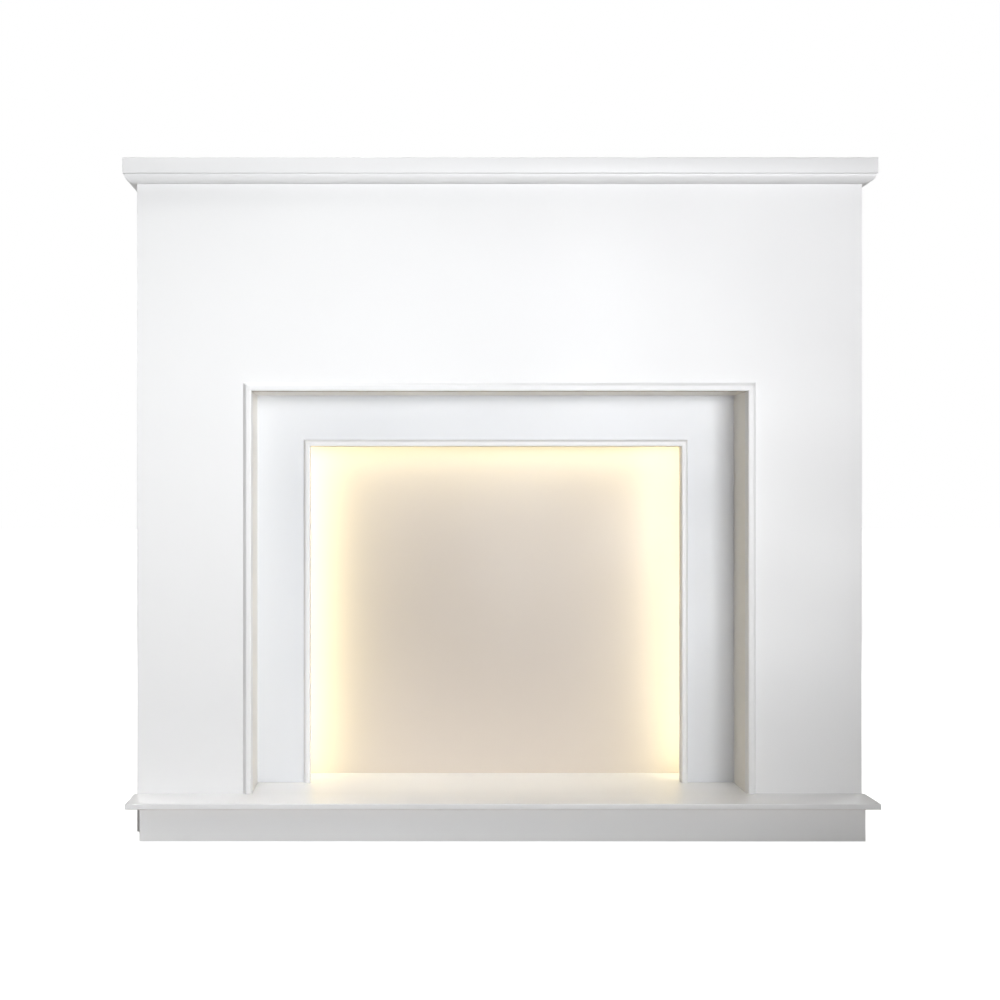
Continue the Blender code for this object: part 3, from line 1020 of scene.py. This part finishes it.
@dataclass
class CableGland:
    """The nylon gland on the niche's rear: a hexagonal flange, a fluted nut and its rubber seal."""

    flutes: int = 16
    sides_per_flute: int = 3
    # How far each flute's wall leans in, and how deep it goes
    flute: Pair = (0.15 * MM, 0.7 * MM)
    flange_depth: float = 3.0 * MM
    flange_sides: int = 6
    edge: float = 0.5 * MM
    edge_faces: int = 3
    nut_radius: float = 9.0 * MM
    nut_edge: float = 1.4 * MM
    bore_depth: float = 2.0 * MM
    seal_radius: float = 4.0 * MM
    seal_depth: float = 1.8 * MM
    seal_setback: float = 1.9 * MM
    # The seal's flat rim, then the slope of its dish across and down
    seal_rim: float = 1.2 * MM
    seal_dish: Pair = (0.4 * MM, 0.6 * MM)
    seal_sides: int = 32
    smooth_angle: float = 30.0

    def build(self) -> None:
        """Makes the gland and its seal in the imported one's box."""
        self.make_body()
        self.make_seal()

    def make_body(self) -> None:
        """Makes the flange and the nut as one moulding."""
        low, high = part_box("cable_gland")
        centre = (low + high) / 2
        joint = low.y + self.flange_depth
        middle = Vector((centre.x, (low.y + joint) / 2, centre.z))
        radius = (high.x - low.x) / 2
        flange = new_cylinder("gland_flange", radius, self.flange_depth, middle, self.flange_sides)
        with editing(flange):
            pick(flange, Part.EDGES, lambda co: co.y > (low.y + joint) / 2)
            bevel(self.edge, self.edge_faces)
        middle = Vector((centre.x, (joint + high.y) / 2, centre.z))
        sides = self.sides_per_flute * self.flutes
        nut = new_cylinder("gland_nut", self.nut_radius, high.y - joint, middle, sides)
        with editing(nut):
            self.pick_flutes(nut, centre)
            bpy.ops.mesh.inset(thickness=self.flute[0], depth=-self.flute[1], use_individual=True)
            pick(nut, Part.FACES, lambda co: co.y > high.y - CLEARANCE, Y)
            bpy.ops.mesh.inset(thickness=self.nut_radius - self.seal_radius - self.nut_edge, depth=0.0)
            bpy.ops.mesh.extrude_region_move(TRANSFORM_OT_translate={"value": -Y * self.bore_depth})
        body = join_up([flange, nut])
        body.name = body.data.name = "cable_gland_body"
        finish(body, MOULDED_NYLON.material(), NYLON_SLOT, "cable_gland", smooth_angle=self.smooth_angle)

    def make_seal(self) -> None:
        """Makes the dished rubber seal."""
        low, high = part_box("cable_gland")
        middle = Vector(((low.x + high.x) / 2, high.y - self.seal_setback, (low.z + high.z) / 2))
        seal = new_cylinder("cable_gland_seal", self.seal_radius, self.seal_depth, middle, self.seal_sides)
        with editing(seal):
            pick(seal, Part.FACES, lambda co: co.y > middle.y, Y)
            bpy.ops.mesh.inset(thickness=self.seal_rim, depth=0.0)
            bpy.ops.mesh.inset(thickness=self.seal_dish[0], depth=-self.seal_dish[1])
        finish(seal, NITRILE_RUBBER.material(), NYLON_SLOT, smooth_angle=self.smooth_angle)

    def pick_flutes(self, nut: Object, centre: Vector) -> None:
        """Picks the side of the nut that is each flute's floor.

        Args:
            nut: The nut, in edit mode.
            centre: A point on its axis.
        """
        bpy.ops.mesh.select_mode(type=Part.FACES.value)
        bpy.ops.mesh.select_all(action="DESELECT")
        mesh = bmesh.from_edit_mesh(nut.data)
        step = 2 * math.pi / (self.sides_per_flute * self.flutes)
        for face in mesh.faces:
            middle = face.calc_center_median() - centre
            turn = math.atan2(middle.z, middle.x) / step
            if abs(face.normal.y) < 0.5 and round(turn - 0.5) % self.sides_per_flute == 0:
                face.select_set(True)
        bmesh.update_edit_mesh(nut.data)


@dataclass
class RearFrame:
    """The raw pine rails and bearers, and the screws that hold the rails."""

    screw_radius: float = 4.0 * MM
    screw_height: float = 0.7 * MM
    screw_stand: float = 0.1 * MM
    screw_edge: float = 0.2 * MM
    screw_edge_faces: int = 2
    screw_sides: int = 28
    # Each screw was turned this many degrees further than the one before it
    turn_step: int = 37
    smooth_angle: float = 30.0
    recess: Triple = (4.4 * MM, 0.9 * MM, 0.5 * MM)
    end_setback: float = 28.0 * MM
    edge_setback: float = 17.0 * MM

    def build(self) -> None:
        """Gives the battens their grain and drives the screws."""
        rails = ("back_rail_top", "back_rail_left", "back_rail_right")
        for node in ("hearth_bearer_front", "hearth_bearer_back", *rails):
            dress(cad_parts[node], PINE.material(node, *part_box(node)))
            if node in rails:
                self.drive_screws(node)

    def drive_screws(self, node: str) -> None:
        """Puts two screws at each end of a rail, in its rear face.

        Args:
            node: The rail.
        """
        low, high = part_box(node)
        word = node.replace("back_rail", "rail_screw")
        across = (low.x + self.end_setback, high.x - self.end_setback)
        up = (low.z + self.edge_setback, high.z - self.edge_setback)
        for number, (x, z) in enumerate(product(across, up), 1):
            self.make_screw(f"{word}_{number}", Vector((x, high.y, z)), number)

    def make_screw(self, name: str, seat: Vector, number: int) -> None:
        """Makes one countersunk screw head with a cross recess.

        Args:
            name: The screw's name.
            seat: The middle of its head, on the rail's rear face.
            number: Its number, which sets how far it was turned.
        """
        centre = seat - Y * (self.screw_height / 2 - self.screw_stand)
        piece = new_cylinder(name, self.screw_radius, self.screw_height, centre, self.screw_sides)
        rim = centre.y + self.screw_height / 2
        with editing(piece):
            pick(piece, Part.EDGES, lambda co: co.y > rim - CLEARANCE / 3)
            bevel(self.screw_edge, self.screw_edge_faces)
        long_side, short_side, depth = self.recess
        turn = Matrix.Rotation(math.radians(self.turn_step * number), 4, "Y")
        for size in ((long_side, short_side), (short_side, long_side)):
            half = Vector((size[0] / 2, depth, size[1] / 2))
            cutter = new_box("recess", -half, half)
            cutter.data.transform(Matrix.Translation(Vector((centre.x, rim, centre.z))) @ turn)
            apply_modifier(piece, "BOOLEAN", object=cutter, operation="DIFFERENCE")
            bpy.data.objects.remove(cutter)
        finish(piece, BRIGHT_ZINC.material(), ZINC_SLOT, smooth_angle=self.smooth_angle)


@dataclass(frozen=True)
class Light:
    """A light that hangs in one place and faces one point."""

    name: str
    place: Triple
    target: Triple
    watts: float

    def hang(self, kind: str) -> bpy.types.Light:
        """Adds the light.

        Args:
            kind: The light's type name.

        Returns:
            Its data.
        """
        lamp = bpy.data.lights.new(self.name, kind)
        lamp.energy = self.watts
        light = bpy.data.objects.new(self.name, lamp)
        light.location = self.place
        aim = Vector(self.target) - Vector(self.place)
        light.rotation_euler = aim.to_track_quat("-Z", "Y").to_euler()
        light.visible_camera = False
        bpy.context.scene.collection.objects.link(light)
        return lamp


@dataclass(frozen=True)
class Spot(Light):
    """A spotlight whose soft-edged cone falls off over part of the mantelpiece."""

    cone: float
    blend: float
    colour: str
    radius: float

    def build(self) -> None:
        """Adds the spotlight."""
        lamp = self.hang("SPOT")
        lamp.color = linear(self.colour)[:3]
        lamp.shadow_soft_size = self.radius
        lamp.spot_size = math.radians(self.cone)
        lamp.spot_blend = self.blend


@dataclass(frozen=True)
class SoftPanel(Light):
    """A flat soft light, whose louvres may hold its beam to a narrow sheet."""

    length: float
    depth: float
    spread: float = 180.0

    def build(self) -> None:
        """Adds the panel."""
        lamp = self.hang("AREA")
        lamp.shape = "RECTANGLE"
        lamp.size, lamp.size_y = self.length, self.depth
        lamp.spread = math.radians(self.spread)


@dataclass
class Studio:
    """A seamless pale floor, soft light and the camera, square to the front."""

    camera_x: float = -0.199
    camera_before_case: float = 2.900
    camera_z: float = 0.663
    lens_mm: float = 52.2
    sensor_mm: float = 36.0
    shift_x: float = 0.100
    # The surround lights the scene with a dim warm grey, and shows as white
    surround: str = "#5B5854"
    floor_tone: str = "#B4B4B4"
    floor_roughness: float = 0.9
    # The floor's own glow, which only the camera sees, grows where the lights no longer reach
    glow_reach: Pair = (2.0, 6.5)
    floor_glow: Pair = (0.86, 1.02)
    floor_size: float = 60.0
    lights: tuple = (
        Spot("key", (1.15, -4.4, 1.0), (-0.6, 0.0, 1.20), 650.0, 38.0, 0.5, "#FBFDFF", 1.2),
        Spot("left_key", (1.1, -4.5, 0.9), (-0.95, 0.0, 0.55), 300.0, 24.0, 1.0, "#F9FAFF", 1.0),
        Spot("right_fill", (0.7, -4.4, 1.3), (0.74, 0.0, 1.27), 345.0, 24.0, 0.9, "#FBFBFF", 0.8),
        Spot("low_right_fill", (0.6, -4.6, 0.8), (0.42, 0.0, 0.40), 98.0, 14.0, 1.0, "#FFFFFF", 0.3),
        Spot("niche_fill", (0.2, -4.6, 0.9), (-0.05, 0.0, 0.45), 34.0, 14.0, 1.0, "#FFFFFF", 0.6),
        Spot("side_fill", (3.0, -3.0, 1.4), (0.0, 0.0, 0.7), 45.0, 60.0, 0.3, "#FFFFFF", 1.0),
        Spot("overhead_left", (-0.8, -1.3, 3.6), (-0.8, -0.1, 0.0), 198.0, 35.0, 1.0, "#FFFFFF", 0.7),
        SoftPanel("hearth_strip", (-0.07, -0.55, 2.4), (-0.07, -0.13, 0.07), 0.55, 1.6, 0.10, 24.0),
        SoftPanel("niche_strip", (0.0, -1.4, 1.75), (0.0, 0.09, 0.1), 0.15, 0.6, 0.05, 12.0),
        SoftPanel("rear_left", (-2.8, 2.0, 1.8), (-0.4, 0.1, 0.7), 70.0, 1.5, 1.5),
        SoftPanel("rear_right", (2.8, 2.2, 1.8), (0.4, 0.1, 0.7), 70.0, 1.5, 1.5),
        SoftPanel("rear", (0.0, 3.6, 1.9), (0.0, 0.17, 0.7), 90.0, 1.5, 1.5),
        SoftPanel("above", (0.0, 0.8, 3.2), (0.0, 0.05, 1.34), 26.0, 1.5, 1.5),
    )

    def build(self) -> None:
        """Sets up the floor, the lights and the camera."""
        scene = bpy.context.scene
        scene.view_settings.view_transform = "Standard"
        scene.view_settings.look = "None"
        self.make_floor()
        self.light_surround()
        for light in self.lights:
            light.build()
        self.set_camera()

    def make_floor(self) -> None:
        """Lays a wide floor that shows almost white and keeps soft shadows."""
        bpy.ops.mesh.primitive_plane_add(size=self.floor_size)
        floor = name_new("studio_floor")
        material, tree, shader = new_material("pale_studio_floor")
        shader.inputs["Base Color"].default_value = linear(self.floor_tone)
        shader.inputs["Roughness"].default_value = self.floor_roughness
        shader.inputs["Emission Color"].default_value = (1.0, 1.0, 1.0, 1.0)
        place = add_node(tree, "ShaderNodeTexCoord", out="Object")
        away = vector_math(tree, "LENGTH", place, out="Value")
        seen = add_node(tree, "ShaderNodeLightPath", out="Is Camera Ray")
        glow = math_node(tree, "MULTIPLY", seen, remap(tree, away, self.glow_reach, self.floor_glow))
        tree.links.new(glow, shader.inputs["Emission Strength"])
        dress(floor, material)

    def light_surround(self) -> None:
        """Lights the scene evenly from a soft grey surround that shows as white."""
        world = bpy.data.worlds.new("studio_surround")
        world.use_nodes = True
        bpy.context.scene.world = world
        tree = world.node_tree
        seen = add_node(tree, "ShaderNodeLightPath", out="Is Camera Ray")
        colour = mix_colours(tree, seen, linear(self.surround), (1.0, 1.0, 1.0, 1.0))
        tree.links.new(colour, tree.nodes["Background"].inputs["Color"])

    def set_camera(self) -> None:
        """Places the camera square to the case, a little left of its middle."""
        data = bpy.data.cameras.new("camera")
        data.sensor_width = self.sensor_mm
        data.lens = self.lens_mm
        data.shift_x = self.shift_x
        camera = bpy.data.objects.new("camera", data)
        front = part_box("front_panel")[0].y
        camera.location = (self.camera_x, front - self.camera_before_case, self.camera_z)
        camera.rotation_euler = LAID_ALONG_Y
        bpy.context.scene.collection.objects.link(camera)
        bpy.context.scene.camera = camera


def main() -> None:
    """Builds the mantelpiece's looks from the floor up."""
    logging.basicConfig(level=logging.INFO, format="%(name)s: %(message)s")
    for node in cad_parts.values():
        node.select_set(False)
    Studio().build()
    Hearth().build()
    Case().build()
    BeadFrame("outer_bead").build()
    Niche().build()
    BeadFrame("inner_bead", splay=4.5 * MM).build()
    bars = (("left", Z, "#FFF9C6", 18.0), ("top", X, "#FFFACC", 9.5), ("right", Z, "#FFFADA", 16.5))
    for word, along, glow, strength in bars:
        LightBar(f"light_bar_{word}", along, glow, strength).build()
    CableGland().build()
    RearFrame().build()


if __name__ == "__main__":
    main()
